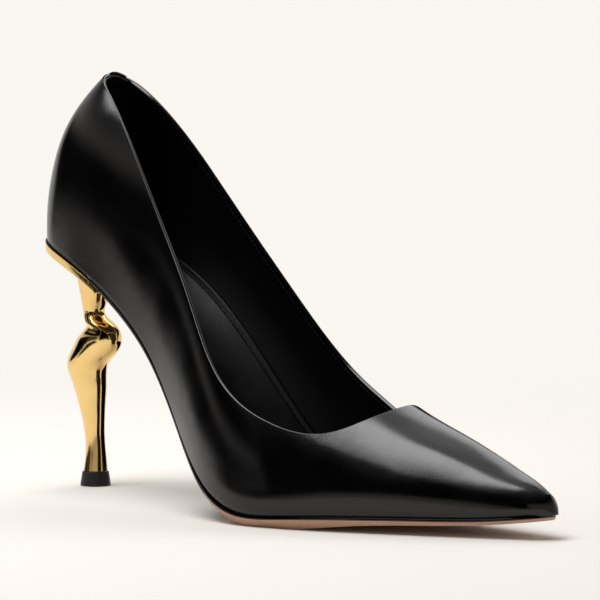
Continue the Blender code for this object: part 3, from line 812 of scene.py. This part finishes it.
# Heel
heelCut = {
    "breast": 42.0, "seatInset": 0.5, "seatThick": 2.2, "seatEdge": 1.2, "gap": 0.3, "slopeReach": 9.0,
    "around": 192, "levels": 240, "fillet": 11.5, "filletRows": 12, "underRows": 8, "edgeRows": 8,
    "topRows": 8, "outlinePoints": 200, "breastPoints": 120, "foldSamples": 60,
    "coverTurn": 76.0,
    "lip": 0.25, "lipClear": 0.03, "lipOver": 0.05, "lipFade": 5.0,  # thin rim that hides the sole's edge
}
stemRows = np.array(
    [  # z, offset of the middle along x, half sizes along and across, share of the seat's slope
        (5.8, 0.0, 4.7, 4.7, 0.0), (10.2, 0.2, 4.2, 4.2, 0.0), (14.9, 0.1, 3.9, 3.8, 0.0),
        (19.7, -0.3, 3.9, 3.8, 0.0), (25.4, -1.0, 4.7, 4.1, 0.0), (32.5, -2.1, 6.1, 4.9, 0.0),
        (38.7, -3.3, 7.6, 5.7, 0.0), (43.9, -4.5, 8.8, 6.5, 0.0), (47.2, -3.8, 9.8, 6.8, 0.0),
        (50.6, -1.0, 11.0, 6.9, 0.0), (53.8, 1.4, 11.2, 6.8, 0.0), (57.2, 3.0, 10.0, 6.5, 0.0),
        (60.5, 3.9, 7.2, 5.8, 0.0), (62.7, 2.2, 5.8, 5.2, 0.0), (65.4, -0.2, 4.1, 4.3, 0.0),
        (69.4, -0.4, 4.5, 4.8, 0.1), (76.2, -0.5, 6.0, 6.0, 0.5), (82.0, -0.3, 7.4, 7.4, 1.0),
    ],
    dtype=[(name, float) for name in ("z", "offset", "along", "across", "tilt")],
)
folds = [  # creases of the casting: degrees round the stem (0 is the toe side, -90 the outer side), heights
    {"turn": (-90, -40, 10, 60, 110), "z": (43.6, 45.0, 47.0, 46.6, 45.0), "deep": 0.25, "width": 2.4},
    {"turn": (-175, -134, -95, -60), "z": (62.6, 61.2, 60.2, 59.4), "deep": 0.7, "width": 1.2},
    {"turn": (175, 134, 95, 60), "z": (62.6, 61.2, 60.2, 59.4), "deep": 0.7, "width": 1.2},
]


def stemAt(column, z):
    return spline(stemRows["z"], stemRows[column], z)


def seatReach(turn, inset):
    # distance from the middle of the heel to the edge of the seat plate in every direction
    margin = soleCut["margin"]
    bend = np.linspace(0, np.pi / 2, heelCut["outlinePoints"])
    x = -margin + (heelCut["breast"] + margin) * (1 - np.cos(bend))
    outer, inner = (np.maximum(featherEdge(x, side, margin) - inset, 0) for side in bothSides)
    inX = np.clip(x, x[0] + inset, heelCut["breast"] - inset)
    centre = lastAt("centre", inX)
    breastY = np.linspace(centre[-1] + inner[-1], centre[-1] - outer[-1], heelCut["breastPoints"])
    outlineX = np.concatenate([inX[::-1], inX, np.full(len(breastY), inX[-1])])
    outlineY = np.concatenate([(centre - outer)[::-1], centre + inner, breastY])
    angle = np.arctan2(outlineY, outlineX - heelX)
    reach = np.hypot(outlineY, outlineX - heelX)
    order = np.argsort(angle)
    return np.interp(turn, angle[order], reach[order], period=2 * np.pi)


def foldRelief(turn, z, radius):
    # bell of the distance to each fold's line, measured round the stem and along it, thinned at its ends
    relief = np.zeros(np.broadcast(turn, z).shape)
    for fold in folds:
        run = np.linspace(0, len(fold["z"]) - 1, heelCut["foldSamples"])
        lineTurn = np.radians(np.interp(run, np.arange(len(fold["turn"])), fold["turn"]))
        lineZ = np.interp(run, np.arange(len(fold["z"])), fold["z"])
        fade = np.sqrt(np.clip(np.sin(np.pi * run / run[-1]), 0, 1))
        turned = (turn[..., None] - lineTurn + np.pi) % (2 * np.pi) - np.pi
        away = np.hypot(turned * radius[..., None], z[..., None] - lineZ)
        relief -= fold["deep"] * (bell(away, fold["width"]) * fade).max(axis=-1)
    return relief


def seatRing(turn, reach, below):
    # points at a reach round the middle of the heel, on the underside of the sole or at a depth below it
    x = heelX + reach * np.cos(turn)
    return np.stack([x, reach * np.sin(turn), soleHeights(x)[2] - heelCut["gap"] - below], axis=-1)


def makeHeel():
    # rings of the stem, a fillet out to the seat plate, its underside, rounded edge and closed top
    turn = np.linspace(-np.pi, np.pi, heelCut["around"], endpoint=False)
    z = np.linspace(stemRows["z"][0], stemRows["z"][-1], heelCut["levels"])[:, None]
    front, back = soleHeights(heelX + heelCut["slopeReach"] * np.array([1, -1]))[2]
    slope = (front - back) / (2 * heelCut["slopeReach"])
    along = stemAt("along", z)
    across = stemAt("across", z)
    relief = foldRelief(turn, z, (along + across) / 2)
    x = heelX + stemAt("offset", z) + (along + relief) * np.cos(turn)
    y = (across + relief) * np.sin(turn)
    stem = np.stack([x, y, z + stemAt("tilt", z) * slope * (x - heelX)], axis=-1)
    thick = heelCut["seatThick"]
    bend = np.linspace(0, np.pi / 2, heelCut["filletRows"] + 1)[1:, None, None]
    outwards = np.concatenate([1 - np.cos(bend), 1 - np.cos(bend), np.sin(bend)], axis=-1)
    fillet = stem[-1] + (seatRing(turn, heelCut["fillet"], thick) - stem[-1]) * outwards
    low = seatReach(turn, heelCut["seatInset"] + heelCut["seatEdge"])
    share = np.linspace(0, 1, heelCut["underRows"] + 1)[1:, None]
    under = seatRing(turn, heelCut["fillet"] + (low - heelCut["fillet"]) * share, thick)
    rim = seatReach(turn, -heelCut["lip"])
    bend = np.linspace(0, np.pi / 2, heelCut["edgeRows"] + 1)[1:, None]
    edge = seatRing(turn, low + (rim - low) * np.sin(bend), thick - heelCut["seatEdge"] * (1 - np.cos(bend)))
    within = seatReach(turn, -heelCut["lipClear"])
    rimX = heelX + rim * np.cos(turn)
    lipHeight = lastAt("sole", np.maximum(rimX, 0)) + heelCut["gap"] + heelCut["lipOver"]
    lipHeight = lipHeight * smoothStep((heelCut["breast"] - rimX) / heelCut["lipFade"])
    lip = seatRing(turn, np.stack([rim, within]), -lipHeight)
    top = seatRing(turn, within * np.linspace(1, 0, heelCut["topRows"] + 1)[:, None], 0.0)
    foot = stem[:1].copy()
    foot[:, :, :2] = heelX, 0.0
    rings = np.concatenate([foot, stem, fillet, under, edge, lip, top])
    # the waist's black leather runs on under the seat, in a sector ahead of the stem
    ring = np.repeat(np.arange(len(rings) - 1), len(turn))
    middle = np.tile(turn + np.pi / len(turn), len(rings) - 1)
    start = len(stem) + len(fillet)
    covered = (ring >= start) & (ring < start + len(under))
    covered &= np.abs(middle) < np.radians(heelCut["coverTurn"])
    finish = covered.astype(np.int32)
    mesh = makeMesh("heel_gold", rings, ringFaces(*rings.shape[:2]), sharp=50, finish=finish)
    addPiece(mesh, [gold, leathers["waistCoverBlack"]], "heel_gold", "heel")


makeHeel()
print("heel cast and plated")

# Top lift
liftCut = {
    "height": 5.5, "foot": 5.8, "head": 5.1, "bevel": 0.45, "lip": 0.25,
    "around": 96, "softPoints": 6, "sidePoints": 8,
}


def makeLift():
    # turned profile: flat tread, rounded edge, flared side, a small lip under the gold
    foot, head, height, bevel, lip = (liftCut[key] for key in ("foot", "head", "height", "bevel", "lip"))
    soft = np.linspace(0, np.pi / 2, liftCut["softPoints"])
    side = np.linspace(0, 1, liftCut["sidePoints"])[1:-1]
    radius = np.concatenate([
        [0, foot / 2], foot - bevel + bevel * np.sin(soft), foot + (head - foot) * side,
        head - lip + lip * np.cos(soft), [head / 2, 0],
    ])[:, None]
    level = np.concatenate([
        [0, 0], bevel - bevel * np.cos(soft), bevel + (height - lip - bevel) * side,
        height - lip + lip * np.sin(soft), [height, height],
    ])[:, None]
    turn = np.linspace(0, 2 * np.pi, liftCut["around"], endpoint=False)
    x, y, z = np.broadcast_arrays(heelX + radius * np.cos(turn), radius * np.sin(turn), level)
    rings = np.stack([x, y, z], axis=-1)
    mesh = makeMesh("heel_top_piece", rings, ringFaces(*rings.shape[:2]), sharp=50)
    addPiece(mesh, [rubber], "lift_rubber", "top_lift")


makeLift()

# Back tab
tabCut = {
    "reach": 5.0, "outerEnd": -0.3, "thick": 0.3, "gap": 0.06, "dropOut": 5.5, "dropIn": 4.5,
    "soft": 0.8, "crest": 0.7, "stations": 44, "legPoints": 12, "foldPoints": 19, "capPoints": 8,
}


def makeTab():
    # a strap folded over the edge: its middle line runs up outside, over the fold and down inside, and is
    # thickened to both sides, with round ends
    half = tabCut["thick"] / 2
    outAt = tabCut["gap"] + half
    inAt = -lastShape["wall"] - outAt
    fold = np.linspace(0, np.pi, tabCut["foldPoints"])[1:-1]
    over = (outAt + inAt) / 2 + (outAt - inAt) / 2 * np.cos(fold)
    outLeg = np.linspace(-tabCut["dropOut"], 0.0, tabCut["legPoints"])
    inLeg = np.linspace(0.0, -tabCut["dropIn"], tabCut["legPoints"])
    middle = np.stack([
        np.concatenate([np.full(len(outLeg), outAt), over, np.full(len(inLeg), inAt)]),
        np.concatenate([outLeg, tabCut["crest"] * np.sin(fold), inLeg]),
    ], axis=-1)
    forward = unit(np.gradient(middle, axis=0))
    normal = np.stack([-forward[:, 1], forward[:, 0]], axis=-1)
    cap = np.linspace(0, np.pi, tabCut["capPoints"])[1:-1, None]
    endCap = middle[-1] + half * (normal[-1] * np.cos(cap) + forward[-1] * np.sin(cap))
    startCap = middle[0] - half * (normal[0] * np.cos(cap) + forward[0] * np.sin(cap))
    ring = np.concatenate([middle + normal * half, endCap, (middle - normal * half)[::-1], startCap])
    endLine, startLine = (np.repeat(middle[[end]], len(cap), axis=0) for end in (-1, 0))
    core = np.concatenate([middle, endLine, middle[::-1], startLine])
    along = np.linspace(tabCut["outerEnd"], 1, tabCut["stations"])
    ends = np.minimum(along - along[0], along[-1] - along) * tabCut["reach"]
    sections = []
    for share, full in zip(along, quarterRound(ends / tabCut["soft"])):
        side = innerSide if share >= 0 else outerSide
        grow, rise = (core + (ring - core) * full).T
        x = np.full(len(grow), tabCut["reach"] * share**2)
        stations = skinStation(x, grow)
        angle = angleAt(stations, toplineHeight(x, side) + rise, grow)
        sections.append(skinPoint(stations, angle, side, grow))
    rings = np.array(sections)
    mesh = makeMesh("back_tab", rings, ringFaces(*rings.shape[:2]), sharp=60)
    addPiece(mesh, [leathers["polishedCalfBlack"]], "tab_leather", "heel_tab")


makeTab()
print("top piece and back tab made")

# Camera at the photograph's eye point, turned and narrowed to the one shoe
viewCut = {
    "pivot": (120.0, 0.0, 60.0), "azimuth": 45.9, "elevation": 3.7, "distance": 1071.2,
    "aim": (122.6, 3.9, 74.7), "fieldOfView": 11.4,
}


def toScene(point):
    return Vector((np.array(point) + shoeOrigin) / 1000)


def makeCamera():
    azimuth, elevation = np.radians([viewCut["azimuth"], viewCut["elevation"]])
    level = np.cos(elevation)
    back = np.array([np.sin(azimuth) * level, -np.cos(azimuth) * level, np.sin(elevation)])
    eye = toScene(np.array(viewCut["pivot"]) + back * viewCut["distance"])
    data = bpy.data.cameras.new("camera")
    data.lens = data.sensor_width / 2 / np.tan(np.radians(viewCut["fieldOfView"] / 2))
    camera = bpy.data.objects.new("camera", data)
    camera.location = eye
    camera.rotation_euler = (toScene(viewCut["aim"]) - eye).to_track_quat("-Z", "Y").to_euler()
    scene.collection.objects.link(camera)
    scene.camera = camera


makeCamera()

# Studio: a pale table that runs out into a pale room, three soft boxes above, and black cards that show in
# reflections only and keep the flanks of the shoe dark
studio = {
    "cream": "#faf6f1", "albedo": 0.82, "table": 6.0, "blendFrom": 0.12, "blendTo": 0.75,
    "room": 0.45, "screen": 0.95, "screenTurn": (-0.4, 0.5), "ceiling": (0.5, 0.8), "ceilingLeft": 0.02,
    # dark side of the room: degrees from straight ahead, half angle that is dark and end of its fade, the
    # heights of the direction between which the dark ends, and the light that is left in it
    "shade": {"turn": -88.0, "core": 30.0, "edge": 40.0, "top": (0.12, 0.24), "left": 0.12},
    "cardPoints": 41,
    "cards": [  # a lower and an upper edge of corners, and the feathered share along and across
        {"name": "black_flag_side", "soft": (0.08, 0.08),
         "foot": [(0.40, -0.40, 0.06), (0.10, -0.40, 0.06), (0.0, -0.40, 0.02), (-0.12, -0.40, 0.02)],
         "head": [(0.40, -0.40, 0.73), (0.10, -0.40, 0.73), (0.0, -0.40, 0.73), (-0.12, -0.40, 0.28)]},
        {"name": "black_flag_near", "soft": (0.2, 0.35),
         "foot": [(-0.06, -0.40, 0.09), (-0.17, -0.405, 0.09), (-0.33, -0.31, 0.09),
                  (-0.46, -0.10, 0.11), (-0.50, 0.06, 0.15)],
         "head": [(-0.06, -0.40, 0.36), (-0.17, -0.405, 0.38), (-0.33, -0.31, 0.38),
                  (-0.46, -0.10, 0.36), (-0.50, 0.06, 0.34)]},
        {"name": "black_flag_left", "soft": (0.2, 0.1),
         "foot": [(-1.4, -1.8, 0.03), (-2.0, -0.9, 0.03), (-2.0, 0.0, 0.03)],
         "head": [(-1.4, -1.8, 0.45), (-2.0, -0.9, 0.45), (-2.0, 0.0, 0.40)]},
        {"name": "black_flag_floor", "soft": (0.15, 0.08),
         "foot": [(-0.36, -0.20, 0.002), (-0.12, -0.36, 0.002)],
         "head": [(-1.5, -0.95, 0.002), (-0.45, -1.6, 0.002)]},
        {"name": "black_flag_heel", "soft": (0.02, 0.05),
         "foot": [(-0.113, 0.07, 0.001), (0.02, 0.07, 0.001)],
         "head": [(-0.113, 0.07, 0.048), (0.02, 0.07, 0.048)]},
        {"name": "black_flag_far", "soft": (0.05, 0.05),
         "foot": [(-0.12, 0.085, 0.09), (-0.03, 0.085, 0.075), (0.05, 0.09, 0.001)],
         "head": [(-0.12, 0.085, 0.155), (-0.03, 0.085, 0.12), (0.05, 0.09, 0.05)]},
    ],
    "boxes": [
        {"name": "soft_box_top", "at": (-0.27, -0.285, 1.13), "aim": (-0.27, -0.285, 0.0),
         "size": (0.70, 0.91), "watts": 14.4},
        {"name": "soft_box_fill", "at": (-0.28, 0.34, 1.13), "aim": (-0.28, 0.34, 0.0),
         "size": (0.72, 0.24), "watts": 0.45},
        {"name": "soft_box_back", "at": (-0.40, 0.66, 1.05), "aim": (0.0, 0.0, 0.05),
         "size": (0.7, 0.5), "watts": 3.9},
    ],
}


def makeWorld():
    # brightness by direction: bright ahead, dim behind, dark towards the ceiling and low on one side; seen
    # directly it is plain cream
    world = bpy.data.worlds.new("studio")
    scene.world = world
    world.use_nodes = True
    tree = world.node_tree
    tree.nodes.clear()
    shade = studio["shade"]
    smooth = {"interpolation_type": "SMOOTHSTEP"}
    multiply = {"operation": "MULTIPLY"}
    direction = addNode(tree, "TexCoord", {}, {}).outputs["Generated"]
    height = addNode(tree, "SeparateXYZ", {}, {"Vector": direction}).outputs["Z"]
    level = addNode(tree, "VectorMath", multiply, {0: direction, 1: (1.0, 1.0, 0.0)}).outputs["Vector"]
    level = addNode(tree, "VectorMath", {"operation": "NORMALIZE"}, {0: level}).outputs["Vector"]
    turns = np.radians(viewCut["azimuth"] - np.array([0.0, shade["turn"]]))
    ahead, aside = (
        addNode(tree, "VectorMath", {"operation": "DOT_PRODUCT"}, {0: level, 1: axis}).outputs["Value"]
        for axis in zip(-np.sin(turns), np.cos(turns), np.zeros(2))
    )
    fades = [
        (ahead, studio["screenTurn"], (studio["room"], studio["screen"])),
        (height, studio["ceiling"], (1.0, studio["ceilingLeft"])),
        (aside, np.cos(np.radians([shade["edge"], shade["core"]])), (0.0, 1.0)),
        (height, shade["top"], (1.0, 0.0)),
    ]
    sockets = ("Value", "From Min", "From Max", "To Min", "To Max")
    screen, ceiling, dark, low = (
        addNode(tree, "MapRange", smooth, dict(zip(sockets, (value, *start, *stop)))).outputs["Result"]
        for value, start, stop in fades
    )
    deep = addNode(tree, "Math", multiply, {0: dark, 1: low}).outputs["Value"]
    left = addNode(tree, "MapRange", smooth, {"Value": deep, "To Min": 1.0, "To Max": shade["left"]})
    share = addNode(tree, "Math", multiply, {0: screen, 1: ceiling}).outputs["Value"]
    share = addNode(tree, "Math", multiply, {0: share, 1: left.outputs["Result"]}).outputs["Value"]
    around = addNode(tree, "Background", {}, {"Color": linear(studio["cream"]), "Strength": share})
    seen = addNode(tree, "Background", {}, {"Color": linear(studio["cream"])})
    camera = addNode(tree, "LightPath", {}, {}).outputs["Is Camera Ray"]
    mixed = addNode(tree, "MixShader", {}, {0: camera, 1: around.outputs[0], 2: seen.outputs[0]})
    addNode(tree, "OutputWorld", {}, {"Surface": mixed.outputs[0]})


def makeTable():
    # Cream background paper, uncoated: matte near the shoe, and lit as pale as the room further out
    size = studio["table"]
    mesh = bpy.data.meshes.new("table_top")
    corners = [(-size, -size, 0), (size, -size, 0), (size, size, 0), (-size, size, 0)]
    mesh.from_pydata(corners, [], [(0, 1, 2, 3)])
    table = bpy.data.objects.new("table_top", mesh)
    scene.collection.objects.link(table)
    material = bpy.data.materials.new("matteTableCream")
    material.use_nodes = True
    tree = material.node_tree
    tree.nodes.clear()
    place = addNode(tree, "TexCoord", {}, {}).outputs["Object"]
    reach = addNode(tree, "VectorMath", {"operation": "LENGTH"}, {0: place}).outputs["Value"]
    span = {"Value": reach, "From Min": studio["blendFrom"], "From Max": studio["blendTo"]}
    away = addNode(tree, "MapRange", {"interpolation_type": "SMOOTHSTEP"}, span).outputs["Result"]
    albedo = np.array(linear(studio["cream"])) * studio["albedo"]
    matte = addNode(tree, "BsdfDiffuse", {}, {"Color": (*albedo[:3], 1.0)})
    glow = addNode(tree, "Emission", {}, {"Color": linear(studio["cream"])})
    mixed = addNode(tree, "MixShader", {}, {0: away, 1: matte.outputs[0], 2: glow.outputs[0]})
    addNode(tree, "OutputMaterial", {}, {"Surface": mixed.outputs[0]})
    mesh.materials.append(material)


def makeLamp(box):
    data = bpy.data.lights.new(box["name"], "AREA")
    data.shape = "RECTANGLE"
    data.size, data.size_y = box["size"]
    data.energy = box["watts"]
    lamp = bpy.data.objects.new(box["name"], data)
    lamp.location = box["at"]
    lamp.rotation_euler = (Vector(box["aim"]) - Vector(box["at"])).to_track_quat("-Z", "Y").to_euler()
    lamp.visible_camera = False
    scene.collection.objects.link(lamp)


def flagCloth():
    # Black flocked cloth, thinned by the mesh attribute "weave" towards its edges
    material, tree, shader = newMaterial("flagClothBlack")
    weave = addNode(tree, "Attribute", {"attribute_name": "weave"}, {}).outputs["Fac"]
    setInputs(tree, shader, {
        "Base Color": linear("#020202"), "Roughness": 1.0, "Specular IOR Level": 0.0, "Alpha": weave})
    return material


def alongEdge(corners, share):
    # straight from corner to corner, each stretch with the same share
    knots = np.linspace(0, 1, len(corners))
    return np.stack([np.interp(share, knots, column) for column in np.array(corners).T], axis=-1)


def makeFlag(card, cloth):
    # a grid between the two edges; its weave closes from each edge with a smooth step
    share = np.linspace(0, 1, studio["cardPoints"])
    foot, head = (alongEdge(card[edge], share)[:, None] for edge in ("foot", "head"))
    points = foot * (1 - share[:, None]) + head * share[:, None]
    rise = np.minimum(share, 1 - share)
    weave = smoothStep(rise / card["soft"][0])[:, None] * smoothStep(rise / card["soft"][1])
    mesh = bpy.data.meshes.new(card["name"])
    index = np.arange(weave.size).reshape(weave.shape)
    mesh.from_pydata(points.reshape(-1, 3).tolist(), [], gridFaces(index).tolist())
    layer = mesh.attributes.new("weave", "FLOAT", "POINT")
    layer.data.foreach_set("value", weave.ravel().astype(np.float32))
    mesh.materials.append(cloth)
    flag = bpy.data.objects.new(card["name"], mesh)
    flag.visible_camera = False
    flag.visible_diffuse = False
    flag.visible_shadow = False
    scene.collection.objects.link(flag)


makeWorld()
makeTable()
for box in studio["boxes"]:
    makeLamp(box)
cloth = flagCloth()
for card in studio["cards"]:
    makeFlag(card, cloth)
scene.view_settings.view_transform = "Standard"
print("camera, table and lights set")
